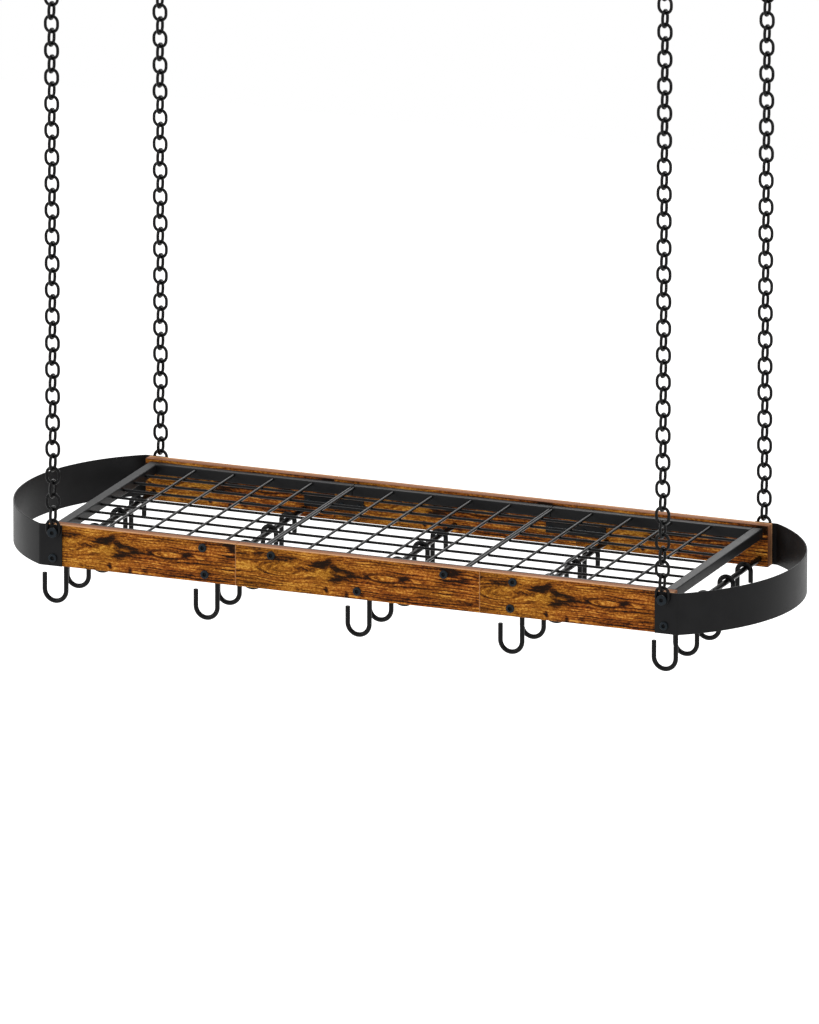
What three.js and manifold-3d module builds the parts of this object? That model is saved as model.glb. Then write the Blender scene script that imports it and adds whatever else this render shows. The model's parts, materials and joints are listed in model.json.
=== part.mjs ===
// A hanging pot rack: a board frame with curved steel end bands, a welded wire shelf in three panels,
// five cross rods with S-hooks, and four chains up to ceiling hooks. Millimetres, +Z up.
// The origin is the middle of the ceiling plane; +X runs along the rack, +Y to the rear.
import * as THREE from "three";
import { mergeVertices } from "three/addons/utils/BufferGeometryUtils.js";
import Module from "manifold-3d";

const wasm = await Module();
wasm.setup();

// Driving dimensions. Rack heights are measured up from the bottom edge of the boards.
const GAP = 0.3; // between pieces that touch
const WELD = 0.15; // how far fused pieces sink into each other
const REST_GAP = 0.05; // between shelf wires that cross away from a panel's edge

const BOARD_HEIGHT = 61;
const BOARD_THICKNESS = 17;
const BOARD_HALF_LENGTH = 478.5;
const RACK_DEPTH = 390; // over the outer faces of the boards
const SEAM_X = 186; // butt joints of the three board lengths

const SPLICE_LENGTH = 92;
const SPLICE_HEIGHT = 16;
const SPLICE_THICKNESS = 2;
const SPLICE_BOTTOM = 16.6;

const BAND_THICKNESS = 2;
const BAND_TAB_INNER_X = 451.7;
const BAND_CREASE_X = 486;
const BAND_RISE = 103.3; // how far the arc bows out past the creases
const BAND_ARC_STEPS = 16;

const BAR_SIZE = 15; // square tube of the shelf frame
const BAR_TOP = 57.7;
const BAR_OUTER_X = 471;
const PANEL_JOINT_X = 152.5;
const WIRE_DIAMETER = 4;
const LONG_WIRE_Z = 51;
const CELLS_ALONG_Y = 8; // between the two side bars
const CELLS_ALONG_X = 5; // of each panel

const ROD_RADIUS = 4;
const ROD_Z = 11.8;
const ROD_SPACING = 232.8;
const ROD_COUNT = 5;

const BOLT_RADIUS = 3;
const BOLT_HOLE_RADIUS = 3.8;
const HOLE_SIDES = 6;
const BOLT_Z = 50.6;
const HEAD_RADIUS = 6.2;
const HEAD_HEIGHT = 2.8;
const CHAIN_HEAD_RADIUS = 7.5;
const PANEL_BOLTS_MIDDLE = [-131.5, 131.5];
const PANEL_BOLTS_OUTER = 236.3;
const CHAIN_X = 464;
const CHAIN_BOLT_DEPTH = 20; // thread inside the end bar
const ROUND_SIDES = 8;

const HOOK_WIRE_RADIUS = 3.45;
const HOOK_LOOP_RADIUS = 10.1;
const HOOK_CURVE_RADIUS = 16.5;
const HOOK_DROP = 85.4; // rod axis down to the middle of the wire at the hook's lowest point
const HOOK_LOOP_TIP = 18.3; // rod axis down to the short free end
const HOOK_TIP = 44.6; // rod axis down to the long free end
const HOOK_ROWS = [-124, -41, 47, 117]; // where the hooks hang along each rod
const HOOK_SIDES = 4;
const HOOK_ARC_STEPS = 5;

const LINK_WIRE_RADIUS = 2.2;
const LINK_LENGTH = 23.7; // between the wire's middles at the two crowns
const LINK_WIDTH = 19.2;
const LINK_STEPS = 6;
const LINK_SIDES = 3;
const LINK_COUNT = 47; // in each chain, its top and bottom link included

const CEILING_WIRE_RADIUS = 2.5;
const CEILING_HOOK_RADIUS = 9;
const CEILING_SHANK = 16;
const CEILING_PLATE_RADIUS = 20;
const CEILING_PLATE_THICKNESS = 3;

// Worked out from the driving dimensions.
const outerY = RACK_DEPTH / 2;
const innerY = outerY - BOARD_THICKNESS;
const bandInnerY = outerY + GAP;
const bandOuterY = bandInnerY + BAND_THICKNESS;
const linkPlaneY = bandOuterY + GAP + LINK_WIRE_RADIUS;
const bottomCrownZ = BOLT_Z - BOLT_RADIUS - GAP - LINK_WIRE_RADIUS;
const freePitch = LINK_LENGTH - 2 * LINK_WIRE_RADIUS - GAP; // where a link can turn in the next
const fusedPitch = LINK_LENGTH - 2 * LINK_WIRE_RADIUS + WELD;
const runCount = LINK_COUNT - 2;
const topCrownZ = bottomCrownZ + 2 * freePitch + (runCount - 1) * fusedPitch + LINK_LENGTH;
const ceilingWireZ = topCrownZ - LINK_WIRE_RADIUS - GAP - CEILING_WIRE_RADIUS;
const ceilingZ = ceilingWireZ + CEILING_HOOK_RADIUS + CEILING_SHANK + CEILING_PLATE_THICKNESS;

// Materials.
const finish = (color, roughness, metalness) => ({ color, roughness, metalness });
const WOOD = finish(0x8a4f22, 0.6, 0);
const COATED_STEEL = finish(0x1c1c1e, 0.45, 0.3);
const CHAIN_STEEL = finish(0x141415, 0.35, 0.5);
const BOLT_STEEL = finish(0x101011, 0.4, 0.6);

const rack = new THREE.Group();
rack.position.z = -ceilingZ;

// Turns a closed geometry into a solid that can be joined and cut.
function solid(geometry) {
  const bare = geometry.index ? geometry.toNonIndexed() : geometry.clone();
  bare.deleteAttribute("normal");
  bare.deleteAttribute("uv");
  const merged = mergeVertices(bare, 1e-4);
  const index = merged.index.array;
  const kept = [];
  for (let i = 0; i < index.length; i += 3) {
    const [a, b, c] = [index[i], index[i + 1], index[i + 2]];
    if (a !== b && b !== c && c !== a) kept.push(a, b, c);
  }
  return new wasm.Manifold(new wasm.Mesh({
    numProp: 3,
    vertProperties: new Float32Array(merged.attributes.position.array),
    triVerts: new Uint32Array(kept),
  }));
}

function geometryOf(body) {
  const mesh = body.getMesh();
  const geometry = new THREE.BufferGeometry();
  geometry.setAttribute("position", new THREE.BufferAttribute(new Float32Array(mesh.vertProperties), 3));
  geometry.setIndex(new THREE.BufferAttribute(new Uint32Array(mesh.triVerts), 1));
  return geometry;
}

function join(bodies) {
  return bodies.reduce((whole, body) => whole.add(body));
}

function cut(body, tools) {
  return tools.reduce((left, tool) => left.subtract(tool), body);
}

function addPiece(name, body, look) {
  const mesh = new THREE.Mesh(geometryOf(body), new THREE.MeshStandardMaterial(look));
  mesh.name = name;
  rack.add(mesh);
}

// A box between two corners.
function block(low, high) {
  const size = high.map((value, axis) => value - low[axis]);
  const geometry = new THREE.BoxGeometry(...size);
  geometry.translate(...low.map((value, axis) => value + size[axis] / 2));
  return solid(geometry);
}

// A turned piece whose axis runs along Y at (x, z); the profile is a list of [radius, y].
function turned(profile, x, z, sides = ROUND_SIDES) {
  const points = profile.map(([radius, y]) => new THREE.Vector2(radius, y));
  const geometry = new THREE.LatheGeometry(points, sides, Math.PI / sides);
  geometry.translate(x, 0, z);
  return solid(geometry);
}

function hole([from, to], x, z) {
  return turned([[0, from], [BOLT_HOLE_RADIUS, from], [BOLT_HOLE_RADIUS, to], [0, to]], x, z, HOLE_SIDES);
}

function boltHole(x, z, side) {
  const ends = [innerY - BAR_SIZE, bandOuterY + 1].map((y) => side * y).sort((a, b) => a - b);
  return hole(ends, x, z);
}

// A straight square-set wire along one axis, standing on its corner.
function straightWire(axis, from, to, a, b) {
  const length = to - from;
  const geometry = new THREE.CylinderGeometry(WIRE_DIAMETER / 2, WIRE_DIAMETER / 2, length, 4);
  if (axis === "x") {
    geometry.rotateZ(-Math.PI / 2);
    geometry.translate(from + length / 2, a, b);
  } else {
    geometry.translate(a, from + length / 2, b);
  }
  return solid(geometry);
}

// A bent wire: it runs evenly over its corner points, so no corner is cut.
class BentWire extends THREE.Curve {
  constructor(corners) {
    super();
    this.corners = corners;
  }

  getPointAt(u, target = new THREE.Vector3()) {
    return target.copy(this.corners[Math.round(u * (this.corners.length - 1))]);
  }

  getTangentAt(u, target = new THREE.Vector3()) {
    const last = this.corners.length - 1;
    const i = Math.round(u * last);
    const here = this.corners[i];
    target.set(0, 0, 0);
    if (i > 0) target.add(here.clone().sub(this.corners[i - 1]).normalize());
    if (i < last) target.add(this.corners[i + 1].clone().sub(here).normalize());
    return target.normalize();
  }
}

function bentWire(corners, radius, sides) {
  const section = new THREE.Shape();
  for (let k = 0; k < sides; k++) {
    const angle = (2 * Math.PI * k) / sides;
    const [x, y] = [radius * Math.cos(angle), radius * Math.sin(angle)];
    if (k === 0) section.moveTo(x, y);
    else section.lineTo(x, y);
  }
  const steps = corners.length - 1;
  return solid(new THREE.ExtrudeGeometry(section, {
    steps,
    bevelEnabled: false,
    extrudePath: new BentWire(corners),
  }));
}

// Points of an arc in a plane, from one angle to another in equal steps; place turns (u, v) into a point.
function arc(centreU, centreV, radius, from, to, steps, place) {
  return Array.from({ length: steps + 1 }, (_, k) => {
    const angle = from + ((to - from) * k) / steps;
    return place(centreU + radius * Math.cos(angle), centreV + radius * Math.sin(angle));
  });
}

// Boards: three lengths on each long side, drilled for the rods, the shelf bolts and the chain bolts.
function buildBoards() {
  const lengths = {
    left: [-BOARD_HALF_LENGTH, -SEAM_X - GAP / 2],
    middle: [-SEAM_X + GAP / 2, SEAM_X - GAP / 2],
    right: [SEAM_X + GAP / 2, BOARD_HALF_LENGTH],
  };
  const lowHoles = Array.from({ length: ROD_COUNT }, (_, k) => (k - 2) * ROD_SPACING);
  const highHoles = [-CHAIN_X, -PANEL_BOLTS_OUTER, ...PANEL_BOLTS_MIDDLE, PANEL_BOLTS_OUTER, CHAIN_X];
  for (const [sideName, side] of [["front", -1], ["rear", 1]]) {
    for (const [place, [low, high]] of Object.entries(lengths)) {
      const faces = [side * innerY, side * outerY].sort((a, b) => a - b);
      const inside = (x) => x > low && x < high;
      const holes = [
        ...lowHoles.filter(inside).map((x) => boltHole(x, ROD_Z, side)),
        ...highHoles.filter(inside).map((x) => boltHole(x, BOLT_Z, side)),
      ];
      const board = block([low, faces[0], 0], [high, faces[1], BOARD_HEIGHT]);
      addPiece(`board_${sideName}_${place}`, cut(board, holes), WOOD);
    }
    for (const [place, x] of [["left", -SEAM_X], ["right", SEAM_X]]) {
      const faces = [side * (innerY - GAP - SPLICE_THICKNESS), side * (innerY - GAP)].sort((a, b) => a - b);
      const plate = block(
        [x - SPLICE_LENGTH / 2, faces[0], SPLICE_BOTTOM],
        [x + SPLICE_LENGTH / 2, faces[1], SPLICE_BOTTOM + SPLICE_HEIGHT],
      );
      addPiece(`splice_plate_${sideName}_${place}`, plate, COATED_STEEL);
    }
  }
}

// End bands: one strip each, flat tabs over the board ends and a single arc between the creases.
function buildBands() {
  for (const [name, side] of [["left", -1], ["right", 1]]) {
    const place = (x, y) => new THREE.Vector2(side * x, y);
    const edge = (halfDepth, creaseX) => {
      const rise = BAND_RISE;
      const radius = (halfDepth ** 2 + rise ** 2) / (2 * rise);
      const sweep = Math.asin(halfDepth / radius);
      return arc(creaseX + rise - radius, 0, radius, -sweep, sweep, BAND_ARC_STEPS, place);
    };
    const outline = [
      place(BAND_TAB_INNER_X, -bandOuterY),
      ...edge(bandOuterY, BAND_CREASE_X),
      place(BAND_TAB_INNER_X, bandOuterY),
      place(BAND_TAB_INNER_X, bandInnerY),
      ...edge(bandInnerY, BAND_CREASE_X - BAND_THICKNESS / 2).reverse(),
      place(BAND_TAB_INNER_X, -bandInnerY),
    ];
    const strip = new THREE.ExtrudeGeometry(new THREE.Shape(outline), { depth: BOARD_HEIGHT, bevelEnabled: false });
    const holes = [-1, 1].flatMap((face) => [
      boltHole(side * CHAIN_X, BOLT_Z, face),
      boltHole(side * 2 * ROD_SPACING, ROD_Z, face),
    ]);
    addPiece(`end_band_${name}`, cut(solid(strip), holes), COATED_STEEL);
  }
}

// A bolt along Y whose head sits outside on headY, with its shank reaching in to tipY.
function bolt(x, z, side, headY, tipY, headRadius) {
  const chamfer = 0.8;
  const profile = [
    [0, tipY],
    [BOLT_RADIUS, tipY],
    [BOLT_RADIUS, headY],
    [headRadius, headY],
    [headRadius - chamfer, headY + HEAD_HEIGHT],
    [0, headY + HEAD_HEIGHT],
  ];
  if (side > 0) return turned(profile, x, z);
  return turned(profile.map(([radius, y]) => [radius, -y]).reverse(), x, z);
}

// Shelf panels: welded wires between tube bars, each bolted through the boards. The rack's ends have an end
// bar; where two panels meet, a cross wire closes each of them.
function buildPanels() {
  const barInnerY = innerY - GAP - BAR_SIZE;
  const barOuterY = innerY - GAP;
  const wireRadius = WIRE_DIAMETER / 2;
  const weldedZ = LONG_WIRE_Z + WIRE_DIAMETER - WELD;
  const restingZ = LONG_WIRE_Z + WIRE_DIAMETER + REST_GAP;
  const marks = (from, to, cells) => Array.from({ length: cells + 1 }, (_, k) => from + ((to - from) * k) / cells);
  const panels = [
    ["left", -BAR_OUTER_X, -PANEL_JOINT_X - GAP / 2, [-PANEL_BOLTS_OUTER], -1],
    ["middle", -PANEL_JOINT_X + GAP / 2, PANEL_JOINT_X - GAP / 2, PANEL_BOLTS_MIDDLE, 0],
    ["right", PANEL_JOINT_X + GAP / 2, BAR_OUTER_X, [PANEL_BOLTS_OUTER], 1],
  ];
  for (const [name, low, high, bolts, endBar] of panels) {
    const wireLow = endBar < 0 ? low + BAR_SIZE : low + wireRadius;
    const wireHigh = endBar > 0 ? high - BAR_SIZE : high - wireRadius;
    const bodies = [];
    for (const side of [-1, 1]) {
      const faces = [side * barInnerY, side * barOuterY].sort((a, b) => a - b);
      bodies.push(block([low, faces[0], BAR_TOP - BAR_SIZE], [high, faces[1], BAR_TOP]));
      for (const x of bolts) {
        bodies.push(bolt(x, BOLT_Z, side, outerY + GAP, barInnerY + BAR_SIZE / 2, HEAD_RADIUS));
      }
    }
    if (endBar !== 0) {
      const faces = [endBar * (BAR_OUTER_X - BAR_SIZE), endBar * BAR_OUTER_X].sort((a, b) => a - b);
      bodies.push(block([faces[0], -barOuterY, BAR_TOP - BAR_SIZE], [faces[1], barOuterY, BAR_TOP]));
    }
    marks(wireLow, wireHigh, CELLS_ALONG_X).forEach((x, k) => {
      if ((k === 0 && endBar < 0) || (k === CELLS_ALONG_X && endBar > 0)) return;
      const closing = k === 0 || k === CELLS_ALONG_X;
      bodies.push(straightWire("y", -barInnerY - 1, barInnerY + 1, x, closing ? weldedZ : restingZ));
    });
    for (const y of marks(-barInnerY, barInnerY, CELLS_ALONG_Y).slice(1, -1)) {
      bodies.push(straightWire("x", wireLow - 1, wireHigh + 1, y, LONG_WIRE_Z));
    }
    const holes = endBar === 0 ? [] : [-1, 1].map((side) => {
      const ends = [side * (barOuterY - CHAIN_BOLT_DEPTH - 1), side * (barOuterY + 1)].sort((a, b) => a - b);
      return hole(ends, endBar * CHAIN_X, BOLT_Z);
    });
    addPiece(`shelf_panel_${name}`, cut(join(bodies), holes), COATED_STEEL);
  }
}

// Cross rods, each turned in one with the two bolts that hold it between the boards.
function buildRods() {
  for (let k = 0; k < ROD_COUNT; k++) {
    const x = (k - 2) * ROD_SPACING;
    const underBand = k === 0 || k === ROD_COUNT - 1;
    const headY = (underBand ? bandOuterY : outerY) + GAP;
    const half = [
      [ROD_RADIUS, innerY - GAP],
      [BOLT_RADIUS, innerY - GAP],
      [BOLT_RADIUS, headY],
      [HEAD_RADIUS, headY],
      [HEAD_RADIUS - 0.8, headY + HEAD_HEIGHT],
      [0, headY + HEAD_HEIGHT],
    ];
    const mirrored = half.map(([radius, y]) => [radius, -y]).reverse();
    addPiece(`cross_rod_${k + 1}`, turned([...mirrored, ...half], x, ROD_Z), BOLT_STEEL);
  }
}

// S-hooks: a small loop over the rod, a long shank beside it and a wide curve below.
function buildHooks() {
  const loopFlat = HOOK_LOOP_RADIUS * Math.cos(Math.PI / (2 * HOOK_ARC_STEPS));
  const loopZ = ROD_RADIUS + GAP + HOOK_WIRE_RADIUS - loopFlat;
  const curveFlat = HOOK_CURVE_RADIUS * Math.cos(Math.PI / (2 * HOOK_ARC_STEPS));
  const curveX = -HOOK_LOOP_RADIUS - HOOK_CURVE_RADIUS;
  const curveZ = curveFlat - HOOK_DROP;
  for (let k = 0; k < ROD_COUNT; k++) {
    const rodX = (k - 2) * ROD_SPACING;
    HOOK_ROWS.forEach((y, row) => {
      const place = (u, v) => new THREE.Vector3(rodX + u, y, ROD_Z + v);
      const corners = [
        place(HOOK_LOOP_RADIUS, -HOOK_LOOP_TIP),
        ...arc(0, loopZ, HOOK_LOOP_RADIUS, 0, Math.PI, HOOK_ARC_STEPS, place),
        ...arc(curveX, curveZ, HOOK_CURVE_RADIUS, 0, -Math.PI, HOOK_ARC_STEPS, place),
        place(curveX - HOOK_CURVE_RADIUS, -HOOK_TIP),
      ];
      addPiece(`hook_${k + 1}_${row + 1}`, bentWire(corners, HOOK_WIRE_RADIUS, HOOK_SIDES), COATED_STEEL);
    });
  }
}

// One chain link: a ring whose middle line is stretched to an oval while its wire keeps its thickness.
// Its ridge points inwards, where the next link bears.
function link(centre, acrossY) {
  const ring = new THREE.TorusGeometry(1, 0.1, LINK_SIDES, LINK_STEPS);
  const mitre = 1 / Math.cos(Math.PI / LINK_STEPS);
  const halfHeight = (LINK_LENGTH / 2) * mitre;
  const halfWidth = LINK_WIDTH / 2;
  const position = ring.attributes.position;
  for (let i = 0; i < position.count; i++) {
    const angle = Math.atan2(position.getY(i), position.getX(i));
    const radial = ((Math.hypot(position.getX(i), position.getY(i)) - 1) / 0.1) * LINK_WIRE_RADIUS * mitre;
    const side = (position.getZ(i) / 0.1) * LINK_WIRE_RADIUS;
    position.setXYZ(
      i,
      halfWidth * Math.cos(angle) - radial * Math.cos(angle),
      halfHeight * Math.sin(angle) - radial * Math.sin(angle),
      -side,
    );
  }
  ring.rotateX(Math.PI / 2);
  if (acrossY) ring.rotateZ(Math.PI / 2);
  ring.translate(...centre);
  return solid(ring);
}

// Chains: links turned by a quarter from one to the next. The bottom and top links are pieces of their
// own, because they turn on the bolt and on the ceiling hook; the run between them hangs straight.
function buildChain(name, x, y) {
  const at = (crown) => [x, y, crown + LINK_LENGTH / 2];
  addPiece(`bottom_link_${name}`, link(at(bottomCrownZ), false), CHAIN_STEEL);
  const runStart = bottomCrownZ + freePitch;
  const run = Array.from({ length: runCount }, (_, k) => link(at(runStart + k * fusedPitch), k % 2 === 0));
  addPiece(`chain_${name}`, join(run), CHAIN_STEEL);
  addPiece(`top_link_${name}`, link(at(topCrownZ - LINK_LENGTH), false), CHAIN_STEEL);
}

// Ceiling hooks: a round plate with an open hook under it, in the plane across the chain's top link.
function buildCeilingHook(name, x, y) {
  const steps = 8;
  const flat = CEILING_HOOK_RADIUS * Math.cos(Math.PI / steps);
  const middleZ = ceilingWireZ + flat;
  const place = (u, v) => new THREE.Vector3(x, y + u, v);
  const plateZ = ceilingZ - CEILING_PLATE_THICKNESS;
  const phase = Math.PI / steps;
  const bend = arc(0, middleZ, CEILING_HOOK_RADIUS, -Math.PI - phase, phase, steps + 2, place);
  const corners = [place(0, plateZ + 1), place(0, middleZ + CEILING_HOOK_RADIUS + 6), ...bend.slice(1)];
  const plate = new THREE.LatheGeometry([
    new THREE.Vector2(0, plateZ),
    new THREE.Vector2(CEILING_PLATE_RADIUS, plateZ + 1),
    new THREE.Vector2(CEILING_PLATE_RADIUS, ceilingZ),
    new THREE.Vector2(0, ceilingZ),
  ], 12);
  plate.rotateX(Math.PI / 2);
  const body = join([solid(plate).translate([x, y, 0]), bentWire(corners, CEILING_WIRE_RADIUS, HOOK_SIDES)]);
  addPiece(`ceiling_hook_${name}`, body, COATED_STEEL);
}

buildBoards();
buildBands();
buildPanels();
buildRods();
buildHooks();
for (const [name, sideX, sideY] of [
  ["front_left", -1, -1],
  ["front_right", 1, -1],
  ["rear_left", -1, 1],
  ["rear_right", 1, 1],
]) {
  const headY = bandOuterY + 2 * LINK_WIRE_RADIUS + 2 * GAP;
  const tipY = innerY - GAP - CHAIN_BOLT_DEPTH;
  addPiece(`chain_bolt_${name}`, bolt(sideX * CHAIN_X, BOLT_Z, sideY, headY, tipY, CHAIN_HEAD_RADIUS), BOLT_STEEL);
  buildChain(name, sideX * CHAIN_X, sideY * linkPlaneY);
  buildCeilingHook(name, sideX * CHAIN_X, sideY * linkPlaneY);
}

export default rack;
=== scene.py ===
"""Dresses the hanging pot rack: foil boards, coated steel bands and shelf, rods, S-hooks and chains."""

import json
import math
from functools import partial

import bpy
import numpy as np
from mathutils import Matrix, Quaternion, Vector


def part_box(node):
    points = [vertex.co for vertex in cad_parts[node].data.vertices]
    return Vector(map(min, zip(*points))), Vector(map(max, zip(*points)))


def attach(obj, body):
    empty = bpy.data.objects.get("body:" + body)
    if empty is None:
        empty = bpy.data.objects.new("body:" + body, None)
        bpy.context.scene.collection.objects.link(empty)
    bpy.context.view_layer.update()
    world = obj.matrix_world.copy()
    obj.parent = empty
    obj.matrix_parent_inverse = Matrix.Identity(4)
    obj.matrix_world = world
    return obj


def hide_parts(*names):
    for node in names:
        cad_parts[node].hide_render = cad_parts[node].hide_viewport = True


bl_info = {
    "name": "Hanging Pot Rack",
    "version": (1, 0, 0),
    "blender": (4, 5, 0),
    "location": "View3D > Sidebar > Pot Rack",
    "description": "Finishes for a hanging pot rack with boards, curved bands, wire shelf, hooks and chains",
    "category": "Add Mesh",
}

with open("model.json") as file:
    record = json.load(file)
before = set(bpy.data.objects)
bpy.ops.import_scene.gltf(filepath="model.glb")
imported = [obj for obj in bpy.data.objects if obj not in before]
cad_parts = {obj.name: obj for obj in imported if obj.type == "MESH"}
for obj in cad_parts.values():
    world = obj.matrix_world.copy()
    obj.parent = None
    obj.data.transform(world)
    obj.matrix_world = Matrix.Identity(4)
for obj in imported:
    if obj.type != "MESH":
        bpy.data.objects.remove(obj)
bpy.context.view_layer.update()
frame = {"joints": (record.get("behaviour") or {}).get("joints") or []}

MM = 0.001
GAP = 0.3 * MM  # clearance between a piece and its neighbour
CORNERS = ("front_left", "front_right", "rear_left", "rear_right")
SIDES = ("front", "rear")
PLACES = ("left", "middle", "right")
ROD_COUNT = 5
HOOKS_PER_ROD = 4
PIVOT = {joint["name"]: np.array(joint["pos_m"]) for joint in frame["joints"]}


def node_box(name):
    """The lowest and the highest corner of a node of the frame."""
    low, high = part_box(name)
    return np.array(low), np.array(high)


BOARD_LOW, BOARD_HIGH = node_box("board_front_left")
BOARD_BOTTOM = BOARD_LOW[2]
BOARD_TOP = BOARD_HIGH[2]
OUTER_Y = -BOARD_LOW[1]
INNER_Y = -BOARD_HIGH[1]

EDGE_STEPS = 4  # points on each quarter turn of a rounded edge
ROUND_SIDES = 48  # points round a bolt head, a rod or a ceiling plate


# ---------------- surfaces


def grid_faces(rows, columns, wrap_rows=False):
    """Quads between neighbouring points of a grid whose columns close into rings."""
    row = np.arange(rows if wrap_rows else rows - 1)
    column = np.arange(columns)
    row, column = np.meshgrid(row, column, indexing="ij")
    next_row = (row + 1) % rows
    next_column = (column + 1) % columns
    corners = [
        row * columns + column,
        row * columns + next_column,
        next_row * columns + next_column,
        next_row * columns + column,
    ]
    return np.stack(corners, -1).reshape(-1, 4).tolist()


def skin(rings, closed=False):
    """A surface through rings of points, rings[row, column], that turn right-handed about the row direction.
    Open ends are closed with one flat face each."""
    rows, columns = rings.shape[:2]
    faces = grid_faces(rows, columns, wrap_rows=closed)
    if not closed:
        faces.append(list(range(columns - 1, -1, -1)))
        faces.append(list(range((rows - 1) * columns, rows * columns)))
    return rings.reshape(-1, 3), faces


def unit(vectors):
    """The vectors at a length of one."""
    return vectors / np.linalg.norm(vectors, axis=-1, keepdims=True)


def tube(path, radii, sides, across, closed=False):
    """A round wire along a flat path: point + radius (cos a (across x direction) + sin a across)."""
    if closed:
        direction = np.roll(path, -1, 0) - np.roll(path, 1, 0)
    else:
        direction = np.gradient(path, axis=0)
    outward = np.cross(across, unit(direction))
    angle = np.linspace(0, 2 * math.pi, sides, endpoint=False)
    circle = np.cos(angle)[:, None] * outward[:, None, :] + np.sin(angle)[:, None] * across
    reach = np.broadcast_to(radii, len(path))[:, None, None]
    return skin(path[:, None, :] + reach * circle, closed)


def cut_ends(path, radius, bevel):
    """Adds a rounded edge of the given bevel to both ends of a wire: returns the path and its radii."""
    turn = np.linspace(0, math.pi / 2, EDGE_STEPS)
    inset = bevel * (1 - np.cos(turn))
    reach = radius - bevel * (1 - np.sin(turn))
    first = unit(path[1] - path[0])
    last = unit(path[-2] - path[-1])
    head = path[0] + inset[:, None] * first
    tail = path[-1] + inset[::-1, None] * last
    radii = np.concatenate([reach, np.full(len(path) - 2, radius), reach[::-1]])
    return np.concatenate([head, path[1:-1], tail]), radii


def turned(profile, sides, centre, axis):
    """A turned shape: each profile row is (height, radius or one radius for each column) about the axis."""
    axis = np.asarray(axis, float)
    side = np.array([1.0, 0.0, 0.0])
    other = np.cross(axis, side)
    angle = np.linspace(0, 2 * math.pi, sides, endpoint=False)
    circle = np.cos(angle)[:, None] * side + np.sin(angle)[:, None] * other
    rings = [centre + axis * height + np.reshape(radius, (-1, 1)) * circle for height, radius in profile]
    return skin(np.stack(rings))


def rounded_rectangle(width, height, radius):
    """Corner arcs joined by straight sides, turning anticlockwise, centred on zero."""
    quarter = np.linspace(0, math.pi / 2, EDGE_STEPS)
    points = []
    for k, (sign_u, sign_v) in enumerate([(1, 1), (-1, 1), (-1, -1), (1, -1)]):
        angle = quarter + k * math.pi / 2
        centre = np.array([sign_u * (width / 2 - radius), sign_v * (height / 2 - radius)])
        points.append(centre + radius * np.stack([np.cos(angle), np.sin(angle)], -1))
    return np.concatenate(points)


def rounded_block(low, high, radius, axis):
    """A bar along one axis whose long edges and ends are all rounded by the same radius."""
    low, high = np.asarray(low, float), np.asarray(high, float)
    u, v = (axis + 1) % 3, (axis + 2) % 3
    size = high - low
    middle = (low + high) / 2
    turn = np.linspace(0, math.pi / 2, EDGE_STEPS)
    along = radius * (1 - np.cos(turn))
    inset = radius * (1 - np.sin(turn))
    places = np.concatenate([low[axis] + along, high[axis] - along[::-1]])
    rings = np.zeros((len(places), 4 * EDGE_STEPS, 3))
    rings[:, :, axis] = places[:, None]
    least = 0.001 * MM  # no two points of a section fall together
    for ring, shrink in zip(rings, [*inset, *inset[::-1]]):
        section = rounded_rectangle(size[u] - 2 * shrink, size[v] - 2 * shrink, max(radius - shrink, least))
        ring[:, u] = middle[u] + section[:, 0]
        ring[:, v] = middle[v] + section[:, 1]
    return skin(rings)


def arc(centre, radius, start, stop, count, first, second):
    """Points centre + radius (cos a first + sin a second) for a from start to stop."""
    angle = np.linspace(start, stop, count)[:, None]
    circle = np.cos(angle) * np.asarray(first) + np.sin(angle) * np.asarray(second)
    return np.asarray(centre) + radius * circle


def bolt_head(radius, height, socket, depth, sides=ROUND_SIDES):
    """Profile of a low round head with a rounded rim and a hexagon socket, from its seat outwards."""
    seat_edge = 0.15 * MM
    rim = 0.45 * height
    mouth_width, mouth_depth = 0.35 * MM, 0.3 * MM
    angle = np.linspace(0, 2 * math.pi, sides, endpoint=False)
    hexagon = socket / np.cos((angle + math.pi / 6) % (math.pi / 3) - math.pi / 6)
    rows = [(0, radius - seat_edge), (seat_edge, radius)]
    for turn in np.linspace(0, math.pi / 2, 5):
        rows.append((height - rim + rim * math.sin(turn), radius - rim * (1 - math.cos(turn))))
    rows += [(height, hexagon + mouth_width), (height - mouth_depth, hexagon), (height - depth, hexagon)]
    return rows


# ---------------- pieces


SHARP = math.radians(35)


def make_piece(name, shapes, finishes, node=None, body="rack", pick=None):
    """Joins shapes into one mesh that is smooth but for its sharp edges, and puts it on its body and in place
    of its CAD node if it has one. pick gives each face the number of a finish, from the faces' normals,
    centres and numbers of corners."""
    vertices, faces, start = [], [], 0
    for points, polygons in shapes:
        vertices.append(points)
        faces += [[start + i for i in polygon] for polygon in polygons]
        start += len(points)
    mesh = bpy.data.meshes.new(name)
    mesh.from_pydata(np.concatenate(vertices).tolist(), [], faces)
    mesh.shade_smooth()
    mesh.set_sharp_from_angle(angle=SHARP)
    for finish in finishes:
        mesh.materials.append(material_of(finish))
    if pick:
        normals, centres = np.zeros((2, len(mesh.polygons) * 3))
        corners = np.zeros(len(mesh.polygons), np.int32)
        mesh.polygons.foreach_get("normal", normals)
        mesh.polygons.foreach_get("center", centres)
        mesh.polygons.foreach_get("loop_total", corners)
        chosen = pick(normals.reshape(-1, 3), centres.reshape(-1, 3), corners)
        mesh.polygons.foreach_set("material_index", chosen.astype(np.int32))
    mesh.update()
    piece = bpy.data.objects.new(name, mesh)
    bpy.context.scene.collection.objects.link(piece)
    flats = piece.modifiers.new("keep flat faces flat", "WEIGHTED_NORMAL")
    flats.keep_sharp = True
    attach(piece, body)
    if node:
        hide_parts(node)
    return piece


# ---------------- materials


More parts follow.
